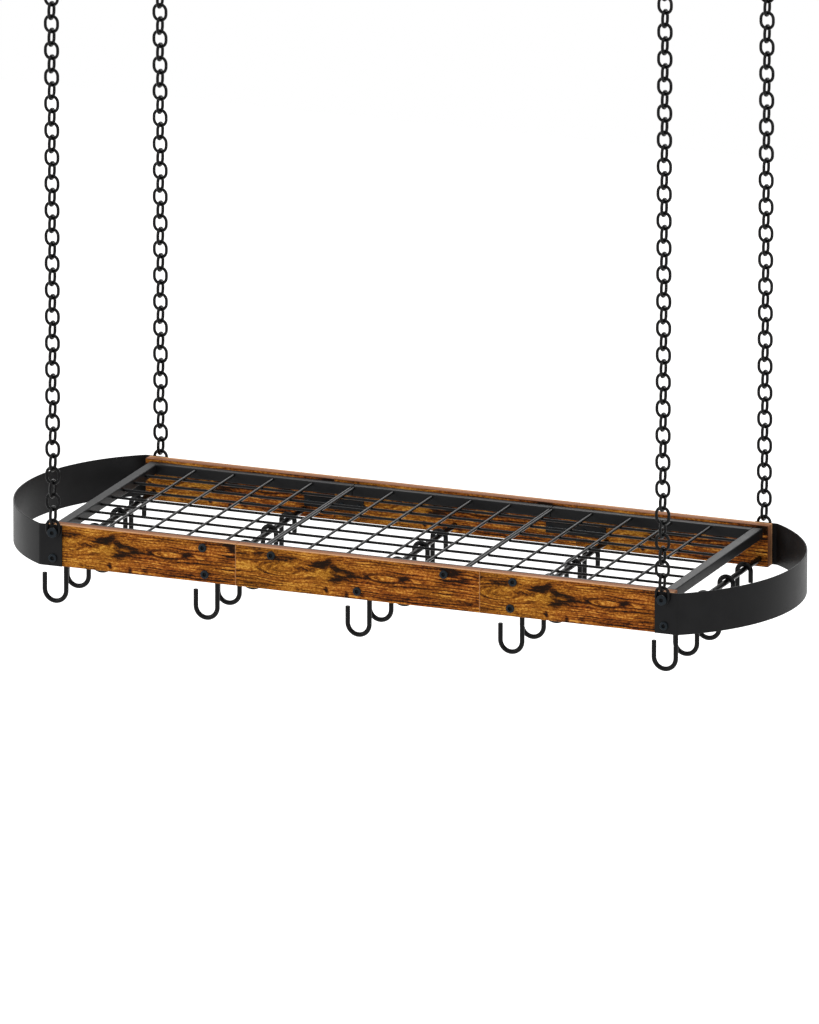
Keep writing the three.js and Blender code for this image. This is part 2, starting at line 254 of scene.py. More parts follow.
def linear(code):
    """An sRGB hex colour as linear RGBA."""
    value = np.array([int(code[i : i + 2], 16) for i in (1, 3, 5)]) / 255
    light = np.where(value <= 0.04045, value / 12.92, ((value + 0.055) / 1.055) ** 2.4)
    return (*light.tolist(), 1.0)


def feed(node, inputs):
    """Fills a node's inputs with values, or with links from sockets or from the first output of nodes."""
    for key, value in inputs.items():
        if isinstance(value, bpy.types.Node):
            value = value.outputs[0]
        if isinstance(value, bpy.types.NodeSocket):
            node.id_data.links.new(value, node.inputs[key])
        else:
            node.inputs[key].default_value = value


def add(tree, kind, inputs=None, **settings):
    """Adds a shader node with its properties and its inputs."""
    node = tree.nodes.new("ShaderNode" + kind)
    for name, value in settings.items():
        setattr(node, name, value)
    feed(node, inputs or {})
    return node


def new_material(name, roughness, ior):
    """An empty material with its Principled shader."""
    material = bpy.data.materials.new(name)
    material.use_nodes = True
    shader = material.node_tree.nodes["Principled BSDF"]
    feed(shader, {"Roughness": roughness, "IOR": ior})
    return material, material.node_tree, shader


def add_ramp(tree, value, places, codes):
    """Adds a colour ramp with hex colours at the given places."""
    node = add(tree, "ValToRGB", {"Fac": value})
    ramp = node.color_ramp
    while len(ramp.elements) < len(places):
        ramp.elements.new(0.5)
    for element, place, code in zip(ramp.elements, places, codes):
        element.position = place
        element.color = linear(code)
    return node


# The dark and the light patches of the printed wood: middle along and up from the print's lower left corner
# and reach along and up, all in mm, turn in degrees, and strength.
SCORCHES = (
    (128, 43.5, 17, 7, 4, 2.1),
    (124, 46, 28, 10, 6, 0.8),
    (106, 35.5, 24, 4, -2, 1.1),
    (78, 49, 30, 11, 3, 1.1),
    (60, 47, 12, 5, -20, 0.7),
    (36, 52, 18, 14, 0, 0.8),
    (33, 36, 8, 16, 0, 0.5),
    (141, 51, 10, 7, 30, 0.9),
    (149, 43, 15, 7, -25, 1.3),
    (164, 39, 20, 6, -14, 1.2),
    (180, 34, 16, 7, -10, 1.0),
    (150, 24, 15, 9, 0, 1.2),
    (163, 27, 24, 7, 10, 0.9),
    (152, 33, 18, 10, 0, 0.7),
    (139, 8, 5, 8, 10, 2.0),
    (170, 4, 6, 9, 0, 1.6),
    (192, 5, 10, 10, 0, 1.0),
    (202, 34, 9, 4, 0, 1.0),
    (256, 37, 15, 6, 5, 1.5),
    (268, 34, 12, 3, -20, 1.0),
    (219, 33.5, 6, 4, 0, 1.0),
    (287, 34, 7, 4, 0, 0.9),
    (272, 26, 7, 4, 0, 0.7),
    (232, 10, 40, 10, 0, 0.45),
    (262, 6, 20, 5, 10, 0.8),
    (287, 14, 16, 5, 10, 0.8),
    (316, 9, 34, 12, 0, 0.45),
    (352, 10, 16, 5, 0, 0.8),
    (333, 55, 26, 8, 0, 1.5),
    (318, 59, 14, 5, 0, 1.0),
    (341, 42, 26, 6, 2, 1.4),
    (318, 42, 12, 5, 0, 1.1),
    (328, 49, 12, 6, -30, 1.0),
    (350, 47, 14, 4, 0, 0.9),
    (368, 51, 10, 7, 0, 1.0),
    (64, 28.5, 11, 3, -8, 0.9),
    (80, 25, 14, 4, 0, 0.6),
    (97, 4, 7, 6, 0, 0.9),
    (287, 58.5, 14, 3, 0, 0.9),
    (178, 58.5, 22, 3, 0, 0.5),
)
GLOWS = (
    (80, 36, 30, 9, 0, 1.0),
    (108, 27, 38, 10, 0, 1.1),
    (22, 49, 9, 12, 0, 0.9),
    (110, 56, 18, 8, 0, 0.8),
    (272, 35, 17, 8, 0, 1.6),
    (230, 35.5, 28, 4.5, 3, 1.1),
    (178, 8, 14, 10, 0, 0.6),
    (80, 7, 18, 9, 0, 0.8),
    (248, 28, 4, 7, 15, 1.5),
    (212, 17, 5, 4, 0, 1.4),
    (208, 54, 20, 6, 0, 0.5),
    (330, 46, 14, 3, 5, 1.2),
    (313, 51, 9, 5, 0, 0.9),
    (360, 36, 14, 6, 0, 0.7),
    (325, 24, 14, 4, 0, 0.6),
    (15, 20, 8, 7, 0, 0.7),
    (142, 45, 4, 9, 0, 0.8),
)
# Where the grain lines close into a figure: middle, half length and half height in mm.
FIGURES = ((72, 33, 40, 11), (228, 34.5, 27, 4.6))
EYE = ((228, 34.5, 42, 30, 0, 1.6),)  # the patch in which the second figure has a dark outline

# The noises of the print: cycles for each metre along and up the board, detail and roughness.
NOISES = {
    "wave": (70, 150, 3, 0.7),
    "bands": (6, 190, 2, 0.55),
    "drift": (10, 140, 2, 0.55),
    "streaks": (30, 430, 3, 0.65),
    "wander": (9, 30, 2, 0.55),
    "tone": (22, 48, 4, 0.6),
    "speckle": (230, 380, 3, 0.75),
    "ragged": (45, 280, 4, 0.7),
    "faint": (14, 110, 2, 0.55),
    "pores": (24, 520, 2, 0.6),
    "hue": (12, 40, 2, 0.55),
}
WAVE = (13 * MM, 6 * MM, 0)  # how far the patches are waved along and up
WANDER = 9 * MM  # how far the grain wanders up and down
LINE_PITCH = 4 * MM  # between two grain lines
LINE_DRIFT = 9.0  # how far the lines drift from that pitch, in radians
OUTLINE = (1.1 * MM, 0.2 * MM)  # from the figure's edge: where its outline fades out, and where it is full
FOIL_RELIEF = 0.1 * MM  # height of the embossed grain


class SurfaceNodes:
    """Short calls for the nodes that a surface is worked out with."""

    def __init__(self, tree):
        self.tree = tree

    def calc(self, operation, first, second=0.0, third=0.0):
        """One of the operations of a Math node."""
        return add(self.tree, "Math", {0: first, 1: second, 2: third}, operation=operation)

    def weigh(self, value, weight, rest):
        """The value times its weight, plus the rest."""
        return self.calc("MULTIPLY_ADD", value, weight, rest)

    def noise(self, name, place):
        """One of NOISES at a place on the print, each taken at its own depth so that no two are alike."""
        along, up, detail, roughness = NOISES[name]
        depth = list(NOISES).index(name)
        scaled = {"Vector": place, "Location": (0, 0, depth), "Scale": (along, up, 1)}
        inputs = {"Vector": add(self.tree, "Mapping", scaled), "Scale": 1.0}
        return add(self.tree, "TexNoise", {**inputs, "Detail": detail, "Roughness": roughness})

    def patches(self, place, spots):
        """Sum of soft spots: strength (1 - distance from the middle in reaches), never below zero."""
        total = 0.0
        for x, z, reach_x, reach_z, turn, strength in spots:
            local = {
                "Vector": place,
                "Location": (x * MM, z * MM, 0),
                "Rotation": (0, 0, math.radians(turn)),
                "Scale": (reach_x * MM, reach_z * MM, 1),
            }
            local = {"Vector": add(self.tree, "Mapping", local, vector_type="TEXTURE")}
            spot = add(self.tree, "TexGradient", local, gradient_type="SPHERICAL")
            total = self.weigh(spot.outputs["Fac"], strength, total)
        return total

    def soft_step(self, value, low, high):
        """Zero at low, one at high, and smooth between them."""
        inputs = {"Value": value, "From Min": low, "From Max": high}
        return add(self.tree, "MapRange", inputs, interpolation_type="SMOOTHSTEP")


def figure_distances(nodes, along, up):
    """The distance from each figure's axis: the grain parts round the figure and closes at its ends."""
    distances = []
    for x, z, reach, rise in FIGURES:
        across = nodes.calc("SUBTRACT", up, z * MM)
        place = nodes.calc("DIVIDE", nodes.calc("SUBTRACT", along, x * MM), reach * MM)
        opened = nodes.calc("MINIMUM", nodes.calc("MULTIPLY", place, place), 1.0)
        square = nodes.weigh(opened, (rise * MM) ** 2, nodes.calc("MULTIPLY", across, across))
        distances.append(nodes.calc("SQRT", square))
    return distances


def grain_lines(nodes, along, grain, place):
    """Dark lines along the grain, broken where a noise is low, and faint from 85 to 155 mm along."""
    drift = nodes.calc("MULTIPLY", nodes.noise("drift", place), LINE_DRIFT)
    turn = nodes.weigh(grain, 2 * math.pi / LINE_PITCH, drift)
    lines = nodes.soft_step(nodes.calc("SINE", turn), 0.2, 0.95)
    strength = nodes.weigh(nodes.soft_step(along, 155 * MM, 185 * MM), 0.85, 0.15)
    strength = nodes.weigh(nodes.soft_step(along, 85 * MM, 60 * MM), 0.6, strength)
    unbroken = nodes.soft_step(nodes.noise("faint", place), 0.3, 0.5)
    return nodes.calc("MULTIPLY", nodes.calc("MULTIPLY", lines, strength), unbroken)


def rustic_foil(shades):
    """Rustic brown wood-print melamine foil on particle board: a satin print of golden brown wood with
    scorched blotches, thin dark grain lines that close into long eyes, and fine streaks. Every board shows
    the same print."""
    material, tree, shader = new_material("rustic wood-print foil", roughness=0.55, ior=1.15)
    nodes = SurfaceNodes(tree)
    layout = add(tree, "Attribute", attribute_name="print").outputs["Vector"]
    parts = add(tree, "SeparateXYZ", {"Vector": layout})
    along, up = parts.outputs["X"], parts.outputs["Y"]

    # The patches are waved by a few millimetres, so none keeps its oval.
    wave = nodes.noise("wave", layout).outputs["Color"]
    wave = add(tree, "VectorMath", {0: wave, 1: (0.5, 0.5, 0.5)}, operation="SUBTRACT")
    waved = add(tree, "VectorMath", {0: wave, 1: WAVE, 2: layout}, operation="MULTIPLY_ADD")

    # The grain follows the first figure, and gives way to the second where its lines are faint.
    wander = nodes.calc("SUBTRACT", nodes.noise("wander", layout), 0.5)
    first, second = figure_distances(nodes, along, nodes.weigh(wander, WANDER, up))
    share = nodes.soft_step(along, 125 * MM, 150 * MM)
    grain = nodes.weigh(nodes.calc("SUBTRACT", second, first), share, first)
    depth = nodes.calc("MULTIPLY", up, 50.0)  # so that lines at the same distance on either side differ
    place = add(tree, "CombineXYZ", {"X": along, "Y": grain, "Z": depth})
    thin = grain_lines(nodes, along, grain, place)
    streaks = nodes.noise("streaks", place)

    rim = nodes.calc("ABSOLUTE", nodes.calc("SUBTRACT", second, FIGURES[1][3] * MM))
    rim = nodes.calc("MULTIPLY", nodes.soft_step(rim, *OUTLINE), nodes.patches(layout, EYE))
    ragged = nodes.calc("SUBTRACT", nodes.noise("ragged", waved), 0.5)
    scorch = nodes.weigh(ragged, 1.6, nodes.patches(waved, SCORCHES))

    value = -1.243
    for part, weight in (
        (nodes.noise("bands", place), 0.7),
        (nodes.noise("tone", waved), 0.7),
        (streaks, 0.9),
        (nodes.noise("speckle", layout), 1.6),
        (nodes.patches(waved, GLOWS), 0.17),
        (nodes.soft_step(nodes.noise("pores", place), 0.5, 0.36), -0.3),
        (thin, -0.42),
        (rim, -0.4),
        (nodes.soft_step(scorch, 0.12, 1.55), -0.72),
    ):
        value = nodes.weigh(part, weight, value)
    colour = add_ramp(tree, value, (0.0, 0.16, 0.34, 0.5, 0.64, 0.8, 1.0), shades)

    # The print turns slowly from golden to orange brown, and is most golden in its left third.
    golden = nodes.weigh(nodes.soft_step(along, 210 * MM, 120 * MM), 0.007, 0.482)
    hue = nodes.weigh(nodes.noise("hue", waved), 0.032, golden)
    colour = add(tree, "HueSaturation", {"Hue": hue, "Color": colour})
    height = nodes.weigh(thin, -0.5, streaks)
    relief = add(tree, "Bump", {"Strength": 0.2, "Distance": FOIL_RELIEF, "Height": height})
    feed(shader, {"Base Color": colour, "Normal": relief})
    return material


def lay_print(board, shift):
    """Stores on each point of a board its place on the print: along and up, in metres."""
    points = np.zeros(len(board.data.vertices) * 3)
    board.data.vertices.foreach_get("co", points)
    points = points.reshape(-1, 3)
    start = points[:, 0].min() - shift
    places = np.stack([points[:, 0] - start, points[:, 2] - BOARD_BOTTOM, np.zeros(len(points))], -1)
    layout = board.data.attributes.new("print", "FLOAT_VECTOR", "POINT")
    layout.data.foreach_set("vector", places.ravel())


def edge_banding(shades):
    """Melamine edge banding: a matt pinkish brown strip with faint lengthwise streaks, a painted highlight
    along the board's outer edge and painted shade along the inner one."""
    material, tree, shader = new_material("melamine edge banding", roughness=0.6, ior=1.15)
    place = add(tree, "TexCoord").outputs["Object"]
    drawn_out = add(tree, "Mapping", {"Vector": place, "Scale": (14.0, 420.0, 420.0)})
    streaks = add(tree, "TexNoise", {"Vector": drawn_out, "Scale": 1.0, "Detail": 3.0})
    parts = add(tree, "SeparateXYZ", {"Vector": place})
    # The colour runs across the banding's depth from painted shade at the inner edge to a painted highlight
    # on the outer lip; the streaks on top are the banding's own.
    depth = add(tree, "Math", {0: parts.outputs["Y"]}, operation="ABSOLUTE")
    across = add(tree, "MapRange", {"Value": depth, "From Min": INNER_Y, "From Max": OUTER_Y})
    tone = add(tree, "Math", {0: streaks, 1: 0.5, 2: across}, operation="MULTIPLY_ADD")
    feed(shader, {"Base Color": add_ramp(tree, tone, (0.22, 0.42, 0.95, 1.0), shades)})
    return material


def coated_steel(name, roughness, grain, height, shades):
    """Powder-coated steel: a satin near-black skin whose fine orange peel, some tenths of a millimetre wide
    in reality and drawn a little coarser here, softens the highlights and gives them a fine grain."""
    material, tree, shader = new_material(name, roughness, ior=1.21)
    place = add(tree, "TexCoord").outputs["Object"]
    cloud = add(tree, "TexNoise", {"Vector": place, "Scale": 35.0, "Detail": 4.0})
    colour = add_ramp(tree, cloud, (0.3, 0.7), shades)
    spread = add(tree, "MapRange", {"Value": cloud, "To Min": roughness - 0.06, "To Max": roughness + 0.06})
    peel = add(tree, "TexNoise", {"Vector": place, "Scale": grain, "Detail": 2.0})
    relief = add(tree, "Bump", {"Strength": 0.4, "Distance": height, "Height": peel})
    feed(shader, {"Base Color": colour, "Roughness": spread, "Normal": relief})
    return material


# What makes each finish, and the colours of the panel that it takes. The steels have a name, a roughness,
# the cycles of their peel for each metre, and its height.
FINISHES = {
    "foil": (rustic_foil, [f"wood_{k}" for k in range(1, 8)]),
    "banding": (edge_banding, ["banding_dark", "banding", "banding_light", "lip"]),
    "coat": (partial(coated_steel, "powder-coated steel", 0.42, 650.0, 0.2 * MM), ["coat", "coat_light"]),
    "wire": (partial(coated_steel, "powder-coated wire", 0.3, 700.0, 0.02 * MM), ["wire", "wire_light"]),
    "chain": (partial(coated_steel, "black chain lacquer", 0.32, 700.0, 0.03 * MM), ["chain", "chain_light"]),
    # Painted shade: each bolt socket's floor takes the near-black chain colour for the shade that falls into
    # it.
    "painted_socket_shade": (partial(coated_steel, "painted shade in the socket", 0.6, 900.0, 0.08 * MM), ["chain", "chain"]),
    "bolt": (partial(coated_steel, "blackened bolt steel", 0.38, 1200.0, 0.04 * MM), ["bolt", "bolt_light"]),
}
MATERIALS = {}


def material_of(kind):
    """Makes a finish once for each choice of its colours in the panel."""
    make, names = FINISHES[kind]
    looks = bpy.context.scene.pot_rack_finishes
    shades = tuple(getattr(looks, name) for name in names)
    if (kind, shades) not in MATERIALS:
        MATERIALS[kind, shades] = make(shades)
    return MATERIALS[kind, shades]


# A bolt's first finish is its steel; the second is painted shade on the floor of its socket.
BOLT_FINISHES = ("bolt", "painted_socket_shade")


def painted_shade_socket_faces(normals, centres, corners):
    """The painted-shade floor of a socket is the only face of a bolt head in view with more than four
    corners.
    """
    return corners > 4


def rod_faces(normals, centres, corners):
    """Between the boards a rod has the third finish, and its bolts have the first two: steel, and painted
    shade on the socket floors.
    """
    return np.where(np.abs(centres[:, 1]) < INNER_Y, 2, painted_shade_socket_faces(normals, centres, corners))


def edge_faces(normals, centres, corners):
    """All faces of a board but its front and rear carry the banding."""
    return np.abs(normals[:, 1]) < 0.9


# ---------------- settings


def length(name, description, default):
    """A size in the panel, from its default in mm."""
    return bpy.props.FloatProperty(
        name=name, description=description, default=default * MM, min=0.0, unit="LENGTH", precision=4
    )


def shade(name, description, default):
    """A colour in the panel."""
    return bpy.props.StringProperty(name=name, description=description + ", sRGB hex", default=default)


class PotRackSizes(bpy.types.PropertyGroup):
    edge_radius: length("Board edge", "Rounding of the boards' edges", 0.8)
    bar_radius: length("Bar edge", "Outer corner radius of the square tube", 1.6)
    shelf_wire: length("Shelf wire", "Radius of the shelf wire", 2.0)
    hook_wire: length("Hook wire", "Radius of the S-hooks' wire", 3.5)
    hook_loop: length("Hook loop", "Middle radius of the loop over the rod", 10.1)
    hook_curve: length("Hook curve", "Middle radius of the wide curve", 16.5)
    hook_drop: length("Hook drop", "Rod axis down to the wire's middle at the lowest point", 85.15)
    hook_short_end: length("Short end", "Rod axis down to the loop's free end", 18.3)
    hook_long_end: length("Long end", "Rod axis down to the wide curve's free end", 44.6)
    rod_radius: length("Rod", "Radius of the cross rods", 4.0)
    shank_radius: length("Bolt shank", "Radius of the bolts", 3.0)
    head_radius: length("Bolt head", "Radius of the board bolts' heads", 6.2)
    chain_head_radius: length("Chain bolt head", "Radius of the chain bolts' heads", 7.5)
    head_height: length("Head height", "Height of the bolt heads", 2.8)
    link_wire: length("Link wire", "Radius of the chain wire", 2.25)
    link_length: length("Link length", "Between the wire's middles at the crowns", 23.7)
    link_width: length("Link width", "Between the wire's middles at the sides", 18.8)
    link_overlap: length("Link overlap", "Between the wire's middles where two links interlock", 4.7)
    ceiling_wire: length("Ceiling hook wire", "Radius of the ceiling hook's wire", 2.5)


class PotRackFinishes(bpy.types.PropertyGroup):
    wood_1: shade("Wood 1", "Scorched middle of the blotches", "#1a0d05")
    wood_2: shade("Wood 2", "Dark blotches", "#391b09")
    wood_3: shade("Wood 3", "Dark grain", "#5f310e")
    wood_4: shade("Wood 4", "Middle brown", "#7e4514")
    wood_5: shade("Wood 5", "Golden brown", "#98581a")
    wood_6: shade("Wood 6", "Light streaks", "#b56f28")
    wood_7: shade("Wood 7", "Lightest streaks", "#e0a044")
    # The edge band colours run from painted shade at the board's inner edge, through the band's own colour
    # and streaks, to a painted highlight on the outer lip.
    banding_dark: shade("Edge band dark", "Painted shade on the edge banding along the board's inner edge", "#684630")
    banding: shade("Edge band", "Edge banding", "#8f5e42")
    banding_light: shade("Edge band light", "Streaks in the edge banding, and its painted lighter outer part", "#a37252")
    lip: shade("Lip", "Painted highlight on the outer lip of the edge banding", "#cf9a6b")
    coat: shade("Coat", "Powder coat", "#111112")
    coat_light: shade("Coat light", "Powder coat where it is thinner", "#171718")
    wire: shade("Wire", "Coated wire, rods and hooks", "#080809")
    wire_light: shade("Wire light", "Coated wire where the coat is thinner", "#0e0e0f")
    chain: shade("Chain", "Chain lacquer", "#060607")
    chain_light: shade("Chain light", "Chain lacquer where it is worn", "#0f0f10")
    bolt: shade("Bolt", "Blackened bolts", "#14191d")
    bolt_light: shade("Bolt light", "Blackened bolts where they are worn", "#20272d")


# ---------------- operators


def long_bolt_head(radius, sizes):
    """The head that all bolts but the small screws have, which take the same key."""
    return bolt_head(radius, sizes.head_height, socket=2.8 * MM, depth=2.2 * MM)


class PieceOperator:
    """What the operators share: undo, and the sizes from the panel."""

    bl_options = {"REGISTER", "UNDO"}

    def execute(self, context):
        self.build(context.scene.pot_rack_sizes)
        return {"FINISHED"}


class POTRACK_OT_boards(PieceOperator, bpy.types.Operator):
    """Make the six board lengths, the splice plates behind their seams and the plates' screws"""

    bl_idname = "potrack.boards"
    bl_label = "Boards"

    PRINT_SHIFT = {"left": 38.6 * MM, "middle": 0.0, "right": 37.6 * MM}  # where each length cuts the print
    SPLICE_EDGE = 0.5 * MM
    SCREW_OFFSETS = (-38 * MM, -12 * MM, 12 * MM, 38 * MM)  # from the seam, along the plate
    SCREW_SIDES = 24
    SCREW_HEAD = {"radius": 3.4 * MM, "height": 1.1 * MM, "socket": 1.3 * MM, "depth": 0.8 * MM}

    def build(self, sizes):
        for side in SIDES:
            for place in PLACES:
                low, high = node_box(f"board_{side}_{place}")
                board = make_piece(
                    f"rustic_board_{side}_{place}",
                    [rounded_block(low, high, sizes.edge_radius, 0)],
                    ("foil", "banding"),
                    f"board_{side}_{place}",
                    pick=edge_faces,
                )
                lay_print(board, self.PRINT_SHIFT[place])
            for place in ("left", "right"):
                self.splice(side, place)

    def splice(self, side, place):
        low, high = node_box(f"splice_plate_{side}_{place}")
        block = rounded_block(low, high, self.SPLICE_EDGE, 0)
        make_piece(f"coated_splice_{side}_{place}", [block], ("coat",), f"splice_plate_{side}_{place}")
        inward = 1.0 if side == "front" else -1.0
        face = high[1] if side == "front" else low[1]
        middle = (low + high) / 2
        head = bolt_head(**self.SCREW_HEAD, sides=self.SCREW_SIDES)
        screws = [
            turned(head, self.SCREW_SIDES, (middle[0] + offset, face, middle[2]), (0, inward, 0))
            for offset in self.SCREW_OFFSETS
        ]
        make_piece(f"splice_screws_{side}_{place}", screws, BOLT_FINISHES, pick=painted_shade_socket_faces)


class POTRACK_OT_bands(PieceOperator, bpy.types.Operator):
    """Make the two curved end bands"""

    bl_idname = "potrack.bands"
    bl_label = "End Bands"

    THICKNESS = 2 * MM
    EDGE = 0.7 * MM
    TAB_X = 451.7 * MM  # where the tab over the board ends
    CREASE_X = 485.6 * MM  # where the tab turns into the arc
    BEND = 1.8 * MM  # reach of that turn on either side
    BEND_POINTS = 8
    ARC_POINTS = 97

    def build(self, sizes):
        for name, side in (("left", -1.0), ("right", 1.0)):
            low, high = node_box(f"end_band_{name}")
            make_piece(f"coated_band_{name}", [self.strip(low, high, side)], ("coat",), f"end_band_{name}")

    def strip(self, low, high, side):
        """A rounded section carried along the plan line: flat tab, short bend, one arc, and back again."""
        apex_x = max(abs(low[0]), abs(high[0])) - self.THICKNESS / 2
        half = high[1] - self.THICKNESS / 2
        rise = apex_x - self.CREASE_X
        radius = (half**2 + rise**2) / (2 * rise)
        sweep = math.asin(half / radius) - self.BEND / radius
        curve = arc((apex_x - radius, 0), radius, -sweep, sweep, self.ARC_POINTS, (1, 0), (0, 1))
        corner = np.array([self.CREASE_X, -half])
        before = corner - (self.BEND, 0)
        t = np.linspace(0, 1, self.BEND_POINTS, endpoint=False)[:, None]
        fillet = (1 - t) ** 2 * before + 2 * t * (1 - t) * corner + t**2 * curve[0]
        lead = np.concatenate([[(self.TAB_X, -half), (self.TAB_X + MM, -half)], fillet])
        path = np.concatenate([lead, curve, (lead * (1, -1))[::-1]])
        direction = unit(np.gradient(path, axis=0))
        outward = np.stack([direction[:, 1], -direction[:, 0]], -1)
        section = rounded_rectangle(self.THICKNESS, high[2] - low[2], self.EDGE)
        plan = path[:, None, :] + section[None, :, :1] * outward[:, None, :]
        height = np.broadcast_to((low[2] + high[2]) / 2 + section[:, 1], plan.shape[:2])
        rings = np.concatenate([plan, height[:, :, None]], -1)
        rings[:, :, 0] *= side
        if side > 0:
            rings = rings[::-1]
        return skin(rings)


class POTRACK_OT_shelf(PieceOperator, bpy.types.Operator):
    """Make the three welded shelf panels and the bolts that hold them"""

    bl_idname = "potrack.shelf"
    bl_label = "Wire Shelf"

    BAR = 15 * MM
    CELLS_ALONG_Y = 8
    CELLS_ALONG_X = 5  # of each panel
    LONG_WIRE_DROP = 6.2 * MM  # bar top down to the middle of the long wires
    CROSS_WIRE_DROP = 3.2 * MM  # the cross wires are pressed a little into the long ones by the welding
    WELD = 0.5 * MM  # how far a wire runs into a bar or past the outermost wire's middle
    LAP = 1 * MM  # how far the side bars run into an end bar
    WIRE_SIDES = 12
    BOLTS = {"left": (-236.3 * MM,), "middle": (-131.5 * MM, 131.5 * MM), "right": (236.3 * MM,)}
    BOLT_HEIGHT = 50.6 * MM

    def build(self, sizes):
        for place in PLACES:
            low, high = node_box(f"shelf_panel_{place}")
            bars, wires = self.panel(place, low, high, sizes)
            make_piece(f"coated_bars_{place}", bars, ("coat",), f"shelf_panel_{place}")
            make_piece(f"coated_wires_{place}", wires, ("wire",))
            head = long_bolt_head(sizes.head_radius, sizes)
            height = BOARD_BOTTOM + self.BOLT_HEIGHT
            heads = [
                turned(head, ROUND_SIDES, (x, side * OUTER_Y, height), (0, side, 0))
                for x in self.BOLTS[place]
                for side in (-1.0, 1.0)
            ]
            make_piece(f"shelf_bolts_{place}", heads, BOLT_FINISHES, pick=painted_shade_socket_faces)

    def panel(self, place, low, high, sizes):
        """Square-tube bars with rounded corners, round long wires, and round cross wires welded on top. An
        end panel has an end bar where the wires run in. A cross wire closes each panel where it meets the
        next."""
        wire = sizes.shelf_wire
        outer = INNER_Y - GAP
        inner = outer - self.BAR
        top, bottom = high[2], high[2] - self.BAR
        first, last = low[0] + wire, high[0] - wire
        start, stop = low[0], high[0]
        bars, wires = [], []
        if place == "left":
            first = low[0] + self.BAR
            start = first - self.LAP
            bars.append(rounded_block((low[0], -outer, bottom), (first, outer, top), sizes.bar_radius, 1))
        if place == "right":
            last = high[0] - self.BAR
            stop = last + self.LAP
            bars.append(rounded_block((last, -outer, bottom), (high[0], outer, top), sizes.bar_radius, 1))
        for side in (-1.0, 1.0):
            near, far = sorted((side * inner, side * outer))
            bars.append(rounded_block((start, near, bottom), (stop, far, top), sizes.bar_radius, 0))
        places = np.linspace(first, last, self.CELLS_ALONG_X + 1)
        places = {"left": places[1:], "right": places[:-1]}.get(place, places)
        reach = inner + self.WELD
        cross_z = top - self.CROSS_WIRE_DROP
        for x in places:
            wires.append(self.wire((x, -reach, cross_z), (x, reach, cross_z), wire))
        long_z = top - self.LONG_WIRE_DROP
        for y in np.linspace(-inner, inner, self.CELLS_ALONG_Y + 1)[1:-1]:
            wires.append(self.wire((first - self.WELD, y, long_z), (last + self.WELD, y, long_z), wire))
        return bars, wires

    def wire(self, start, stop, radius):
        return tube(np.linspace(start, stop, 3), radius, self.WIRE_SIDES, (0, 0, 1))


class POTRACK_OT_rods(PieceOperator, bpy.types.Operator):
    """Make the five cross rods with the bolts at their ends"""

    bl_idname = "potrack.rods"
    bl_label = "Cross Rods"

    CHAMFER = 0.6 * MM

    def build(self, sizes):
        for number in range(1, ROD_COUNT + 1):
            name = f"cross_rod_{number}"
            low, high = node_box(name)
            centre = (low + high) / 2
            seat = high[1] - sizes.head_height
            end = INNER_Y - GAP
            half = [(end - self.CHAMFER, sizes.rod_radius), (end, sizes.rod_radius - self.CHAMFER)]
            half += [(end, sizes.shank_radius), (seat, sizes.shank_radius)]
            half += [(seat + place, reach) for place, reach in long_bolt_head(sizes.head_radius, sizes)]
            mirrored = [(-place, reach) for place, reach in half[::-1]]
            rod = turned(mirrored + half, ROUND_SIDES, (centre[0], 0, centre[2]), (0, 1, 0))
            make_piece(f"steel_rod_{number}", [rod], (*BOLT_FINISHES, "wire"), name, pick=rod_faces)


class POTRACK_OT_hooks(PieceOperator, bpy.types.Operator):
    """Make the twenty S-hooks that hang on the rods"""

    bl_idname = "potrack.hooks"
    bl_label = "S-Hooks"

    END_BEVEL = 0.7 * MM
    WIRE_SIDES = 20
    LOOP_POINTS = 25
    CURVE_POINTS = 33

    def build(self, sizes):
        for rod in range(1, ROD_COUNT + 1):
            for row in range(1, HOOKS_PER_ROD + 1):
                name = f"hook_{rod}_{row}"
                path = self.path(PIVOT[f"{name}_swing"], sizes)
                path, radii = cut_ends(path, sizes.hook_wire, self.END_BEVEL)
                shape = tube(path, radii, self.WIRE_SIDES, (0, 1, 0))
                make_piece(f"s_{name}", [shape], ("wire",), name, body=name)

    def path(self, rod, sizes):
        """Short free end, half circle over the rod, straight shank, half circle below, long free end."""
        loop, curve = sizes.hook_loop, sizes.hook_curve
        sideways, upwards = (1, 0, 0), (0, 0, 1)
        lift = sizes.rod_radius + GAP + sizes.hook_wire - loop
        over = arc(rod + (0, 0, lift), loop, 0, math.pi, self.LOOP_POINTS, sideways, upwards)
        low_centre = rod + (-loop - curve, 0, curve - sizes.hook_drop)
        under = arc(low_centre, curve, 0, -math.pi, self.CURVE_POINTS, sideways, upwards)
        short = rod + (loop, 0, -sizes.hook_short_end)
        long = rod + (-loop - 2 * curve, 0, -sizes.hook_long_end)
        return np.concatenate([[short, (short + over[0]) / 2], over, under, [(long + under[-1]) / 2, long]])


